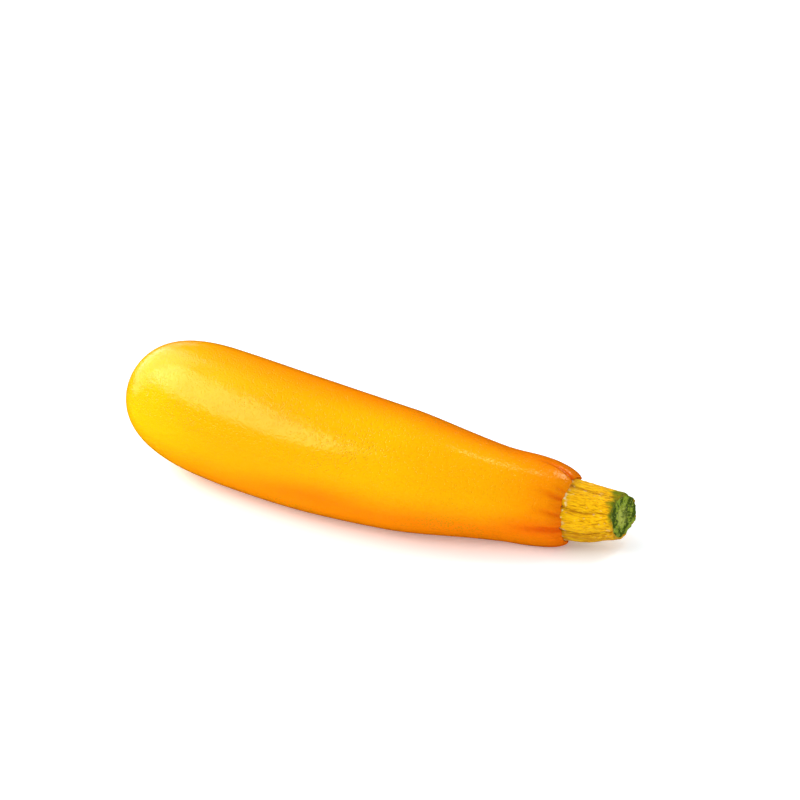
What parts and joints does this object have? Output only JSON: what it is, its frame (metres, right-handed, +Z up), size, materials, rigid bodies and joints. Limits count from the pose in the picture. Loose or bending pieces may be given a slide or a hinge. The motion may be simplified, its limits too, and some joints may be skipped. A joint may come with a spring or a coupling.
{
  "type": "yellow zucchini",
  "caption": "Yellow zucchini lying on its side: a gently bowed, glossy fruit, full at the blossom end and drawn in to a ribbed, slant-cut stem stub.",
  "frame": {"origin": "middle of the footprint, on the surface that the zucchini lies on", "axes": "+X along the fruit towards the stem, +Z up, and the fruit bows towards -Y"},
  "size_m": [0.1868, 0.0582, 0.0472],
  "materials": {
    "skin": "waxy gloss, lemon yellow at the blossom end to golden orange at the neck",
    "stem_rind": "matt and fibrous, ochre yellow turning green at the cut"
  },
  "bodies": {
    "root": {"fruit": "skin", "stem": "stem_rind"}
  },
  "joints": []
}
